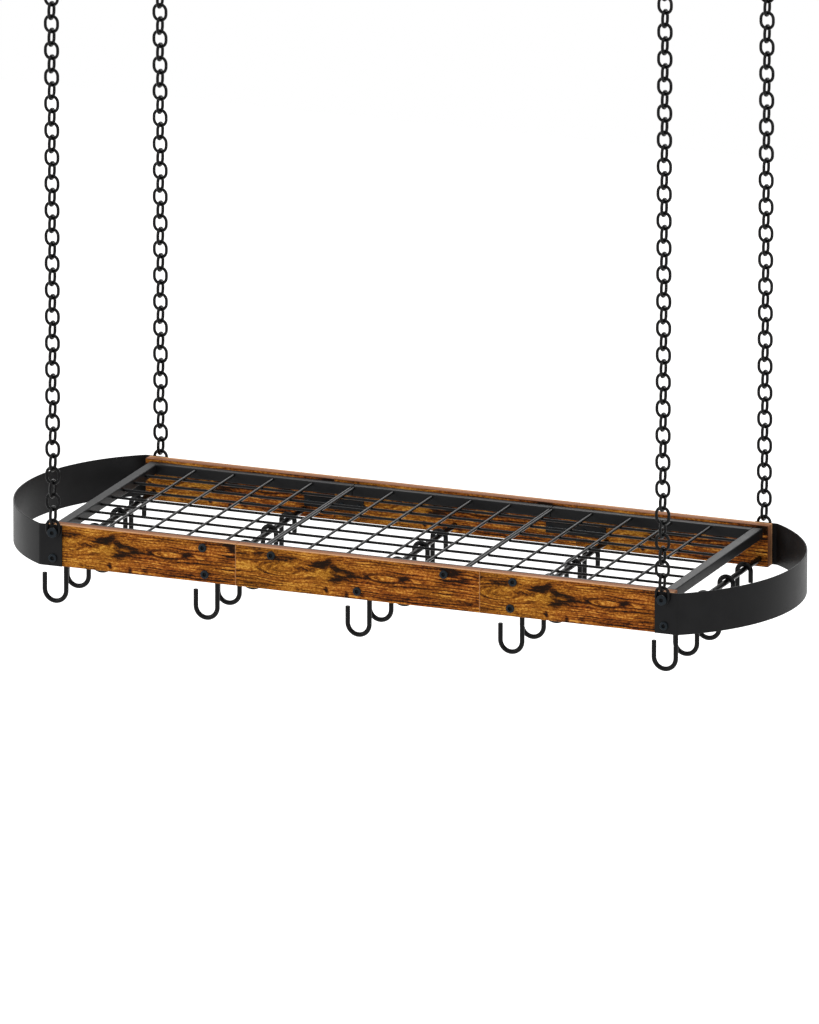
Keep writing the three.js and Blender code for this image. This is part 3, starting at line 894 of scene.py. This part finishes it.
class POTRACK_OT_chains(PieceOperator, bpy.types.Operator):
    """Make the four chains with their bolts and ceiling hooks"""

    bl_idname = "potrack.chains"
    bl_label = "Chains"

    RUN_LINKS = 45
    CROWN_POINTS = 12
    LINK_SIDES = 10
    TIP_CHAMFER = 0.5 * MM
    PLATE_EDGE = 0.3 * MM
    PLATE_RIM = 1.2 * MM  # height of the ceiling plate's straight rim
    DOME_RISE = 1.8 * MM
    DOME_START = 0.2  # where the dome's quarter turn leaves the rim, in radians
    COLLAR = ((2.95 * MM, 4.2 * MM), (5 * MM, 3.6 * MM), (5.4 * MM, 3 * MM))  # heights and radii
    HOOK_BEND = 9 * MM  # middle radius of the ceiling hook
    HOOK_FACET = math.pi / 8  # half a facet of the hook's solid, on whose flat the top link bears
    HOOK_TIP = 0.25  # how far the bend runs on past level, in radians
    HOOK_POINTS = 33
    HOOK_NECK = 6 * MM  # from the top of that bend up to the knee below the plate
    HOOK_START = 4 * MM  # where the wire starts below the ceiling, inside the collar
    HOOK_SIDES = 16
    END_BEVEL = 0.8 * MM

    def build(self, sizes):
        for corner in CORNERS:
            self.bolt(corner, sizes)
            top = PIVOT[f"fore_aft_swing_{corner}"]
            bottom = PIVOT[f"fore_aft_level_{corner}"]
            half = np.array([0, 0, sizes.link_length / 2])
            self.links(f"top_link_{corner}", [top + half], [0], sizes)
            self.links(f"bottom_link_{corner}", [bottom - half], [0], sizes)
            overlap = np.array([0, 0, sizes.link_overlap])
            centres = np.linspace(bottom - overlap + half, top + overlap - half, self.RUN_LINKS)
            self.links(f"chain_{corner}", centres, [1 - k % 2 for k in range(self.RUN_LINKS)], sizes)
            self.ceiling_hook(corner, sizes)

    def links(self, name, centres, turns, sizes):
        """Each link is a round wire along two half circles joined by short straight sides."""
        radius = sizes.link_width / 2
        straight = np.array([0, 0, sizes.link_length / 2 - radius])
        shapes = []
        for centre, turn in zip(centres, turns):
            flat = (0, 1, 0) if turn else (1, 0, 0)
            across = (-1, 0, 0) if turn else (0, 1, 0)
            top = arc(centre + straight, radius, 0, math.pi, self.CROWN_POINTS, flat, (0, 0, 1))
            bottom = arc(centre - straight, radius, -math.pi, 0, self.CROWN_POINTS, flat, (0, 0, 1))
            path = np.concatenate([top, bottom])[::-1]
            shapes.append(tube(path, sizes.link_wire, self.LINK_SIDES, across, closed=True))
        make_piece(f"oval_{name}", shapes, ("chain",), name, body=name)

    def bolt(self, corner, sizes):
        """Long bolt: a low head with a hexagon socket outside the link, and a shank into the end bar."""
        name = f"chain_bolt_{corner}"
        low, high = node_box(name)
        side = 1.0 if corner.startswith("rear") else -1.0
        tip, outside = sorted((abs(low[1]), abs(high[1])))
        seat = outside - sizes.head_height
        centre = (low + high) / 2
        shank = sizes.shank_radius
        rows = [(tip, shank - self.TIP_CHAMFER), (tip + self.TIP_CHAMFER, shank), (seat, shank)]
        rows += [(seat + place, reach) for place, reach in long_bolt_head(sizes.chain_head_radius, sizes)]
        shape = turned(rows, ROUND_SIDES, (centre[0], 0, centre[2]), (0, side, 0))
        make_piece(f"long_bolt_{corner}", [shape], BOLT_FINISHES, name, pick=painted_shade_socket_faces)

    def ceiling_hook(self, corner, sizes):
        """A domed round plate with a wire hook whose bend carries the top link."""
        name = f"ceiling_hook_{corner}"
        low, high = node_box(name)
        seat = PIVOT[f"side_swing_{corner}"]
        plate = self.plate((high[0] - low[0]) / 2, (seat[0], seat[1], high[2]))
        path, radii = cut_ends(self.hook_path(seat, high[2]), sizes.ceiling_wire, self.END_BEVEL)
        wire = tube(path, radii, self.HOOK_SIDES, (-1, 0, 0))
        make_piece(f"coated_{name}", [plate, wire], ("coat",), name, body="ceiling")

    def plate(self, radius, centre):
        """A straight rim, a dome up to the collar, and the collar round the wire."""
        rows = [(0, radius - self.PLATE_EDGE), (self.PLATE_EDGE, radius), (self.PLATE_RIM, radius)]
        for turn in np.linspace(self.DOME_START, math.pi / 2, 8):
            reach = radius * math.cos(turn) + 0.1 * MM
            if reach > self.COLLAR[0][1]:
                rows.append((self.PLATE_RIM + self.DOME_RISE * math.sin(turn), reach))
        return turned([*rows, *self.COLLAR], ROUND_SIDES, centre, (0, 0, -1))

    def hook_path(self, seat, ceiling):
        """Straight down to the knee, easing out sideways, and round the bend under the seat."""
        radius = self.HOOK_BEND
        middle = seat + (0, 0, radius * math.cos(self.HOOK_FACET))
        bend = arc(middle, radius, -math.pi, self.HOOK_TIP, self.HOOK_POINTS, (0, 1, 0), (0, 0, 1))
        start = np.array([seat[0], seat[1], ceiling - self.HOOK_START])
        knee = middle + (0, 0, radius + self.HOOK_NECK)
        t = np.linspace(0, 1, 12)[1:-1, None]
        ease = t * t * (3 - 2 * t)
        drop = knee + (bend[0] - knee) * np.concatenate([ease, ease, t], -1)
        return np.concatenate([[start, knee], drop, bend])


class POTRACK_OT_stage(bpy.types.Operator):
    """Make the camera, the soft lights, the white surroundings and the floor"""

    bl_idname = "potrack.stage"
    bl_label = "Stage"

    AZIMUTH = math.radians(21.841)
    ELEVATION = math.radians(15.655)
    ROLL = math.radians(0.087)
    DISTANCE = 30.88
    LENS = 763.9
    AIM = (0.00125, 0.07473)  # the picture's middle, right of and above the middle of the boards' underside
    FLOOR_DROP = 1.6
    FLOOR_HALF = 8.0
    FLOOR_SPOT = 2.5  # reach of the darker middle of the floor
    FLOOR_DIM = 0.4  # how much darker it is
    FILL = 0.36  # strength of the plain light from all round
    LAMPS = (  # place from the middle of the boards, size and power
        ("left", (-3.8, -3.1, 1.9), 2.4, 118),
        ("right", (4.2, -2.2, 1.5), 2.4, 76),
        ("back", (-2.0, 4.7, 0.9), 3.4, 12),
        ("high back", (-0.7, 4.3, 3.0), 1.8, 56),
        ("top", (0.4, -1.0, 4.4), 2.2, 50),
    )

    def execute(self, context):
        scene = context.scene
        scene.view_settings.view_transform = "Standard"
        self.camera(scene)
        self.surroundings(scene)
        self.floor(scene)
        for lamp in self.LAMPS:
            self.lamp(scene, *lamp)
        return {"FINISHED"}

    def camera(self, scene):
        """The camera that was fitted to the photo, far off with a long lens."""
        turn, lift = self.AZIMUTH, self.ELEVATION
        back = Vector((math.sin(turn) * math.cos(lift), -math.cos(turn) * math.cos(lift), math.sin(lift)))
        right = Vector((math.cos(turn), math.sin(turn), 0))
        right.rotate(Quaternion(back, self.ROLL))
        up = back.cross(right)
        aim = Vector((0, 0, BOARD_BOTTOM)) + right * self.AIM[0] + up * self.AIM[1]
        data = bpy.data.cameras.new("camera")
        data.lens = self.LENS
        data.sensor_width = 36
        data.clip_end = 100
        camera = bpy.data.objects.new("camera", data)
        rotation = Matrix((right, up, back)).transposed().to_4x4()
        camera.matrix_world = Matrix.Translation(aim + back * self.DISTANCE) @ rotation
        scene.collection.objects.link(camera)
        scene.camera = camera

    def seen(self, tree):
        """One for rays from the camera or a reflection, and zero for the rays that light the rack."""
        rays = add(tree, "LightPath").outputs
        seen = rays["Is Camera Ray"]
        for bounced in (rays["Is Glossy Ray"], rays["Is Transmission Ray"]):
            seen = add(tree, "Math", {0: seen, 1: bounced}, operation="MAXIMUM")
        return seen

    def surroundings(self, scene):
        """White where the camera or a reflection looks past the rack, and a plain soft light elsewhere."""
        world = bpy.data.worlds.new("studio")
        scene.world = world
        world.use_nodes = True
        tree = world.node_tree
        tree.nodes.clear()
        white = add(tree, "Background", {"Color": (1, 1, 1, 1), "Strength": 1.0})
        soft = add(tree, "Background", {"Color": (1, 1, 1, 1), "Strength": self.FILL})
        mix = add(tree, "MixShader", {0: self.seen(tree), 1: soft, 2: white})
        add(tree, "OutputWorld", {"Surface": mix})

    def floor(self, scene):
        """A wide pale floor that is white to the camera, and lets a view from below through."""
        half = self.FLOOR_HALF
        corners = [(-half, -half), (half, -half), (half, half), (-half, half)]
        mesh = bpy.data.meshes.new("floor")
        mesh.from_pydata([(x, y, BOARD_BOTTOM - self.FLOOR_DROP) for x, y in corners], [], [(0, 1, 2, 3)])
        material = bpy.data.materials.new("pale floor")
        material.use_nodes = True
        tree = material.node_tree
        tree.nodes.clear()
        side = add(tree, "NewGeometry")
        pale = add(tree, "BsdfDiffuse", {"Color": linear("#f2f2f0")})
        place = add(tree, "TexCoord")
        scale = 1 / self.FLOOR_SPOT
        shrunk = add(tree, "Mapping", {"Vector": place.outputs["Object"], "Scale": (scale, scale, 0)})
        spot = add(tree, "TexGradient", {"Vector": shrunk}, gradient_type="SPHERICAL")
        strength = SurfaceNodes(tree).weigh(spot.outputs["Fac"], -self.FLOOR_DIM, 1.0)
        glow = add(tree, "Emission", {"Color": (1, 1, 1, 1), "Strength": strength})
        both = add(tree, "AddShader", {0: pale, 1: glow})
        seen = add(tree, "MixShader", {0: self.seen(tree), 1: pale, 2: both})
        clear = add(tree, "BsdfTransparent")
        mix = add(tree, "MixShader", {0: side.outputs["Backfacing"], 1: seen, 2: clear})
        add(tree, "OutputMaterial", {"Surface": mix})
        mesh.materials.append(material)
        floor = bpy.data.objects.new("floor", mesh)
        scene.collection.objects.link(floor)

    def lamp(self, scene, name, offset, size, power):
        """A square soft box that faces the middle of the rack."""
        centre = Vector((0, 0, (BOARD_BOTTOM + BOARD_TOP) / 2))
        data = bpy.data.lights.new(name, "AREA")
        data.size = size
        data.energy = power
        lamp = bpy.data.objects.new(name, data)
        lamp.visible_camera = False
        lamp.location = centre + Vector(offset)
        lamp.rotation_euler = Vector(offset).to_track_quat("Z", "Y").to_euler()
        scene.collection.objects.link(lamp)


OPERATORS = (
    POTRACK_OT_stage,
    POTRACK_OT_boards,
    POTRACK_OT_bands,
    POTRACK_OT_shelf,
    POTRACK_OT_rods,
    POTRACK_OT_hooks,
    POTRACK_OT_chains,
)


class POTRACK_PT_panel(bpy.types.Panel):
    """Sizes, finishes and a button for each group of pieces"""

    bl_idname = "POTRACK_PT_panel"
    bl_label = "Hanging Pot Rack"
    bl_space_type = "VIEW_3D"
    bl_region_type = "UI"
    bl_category = "Pot Rack"

    def draw(self, context):
        for operator in OPERATORS:
            self.layout.operator(operator.bl_idname)
        for group in (context.scene.pot_rack_sizes, context.scene.pot_rack_finishes):
            column = self.layout.column()
            for name in group.__annotations__:
                column.prop(group, name)


CLASSES = (PotRackSizes, PotRackFinishes, *OPERATORS, POTRACK_PT_panel)


def register():
    for cls in CLASSES:
        bpy.utils.register_class(cls)
    bpy.types.Scene.pot_rack_sizes = bpy.props.PointerProperty(type=PotRackSizes)
    bpy.types.Scene.pot_rack_finishes = bpy.props.PointerProperty(type=PotRackFinishes)


def unregister():
    del bpy.types.Scene.pot_rack_finishes
    del bpy.types.Scene.pot_rack_sizes
    for cls in reversed(CLASSES):
        bpy.utils.unregister_class(cls)


def main():
    register()
    bpy.ops.potrack.stage()
    bpy.ops.potrack.boards()
    bpy.ops.potrack.bands()
    bpy.ops.potrack.shelf()
    bpy.ops.potrack.rods()
    bpy.ops.potrack.hooks()
    bpy.ops.potrack.chains()


if __name__ == "__main__":
    main()
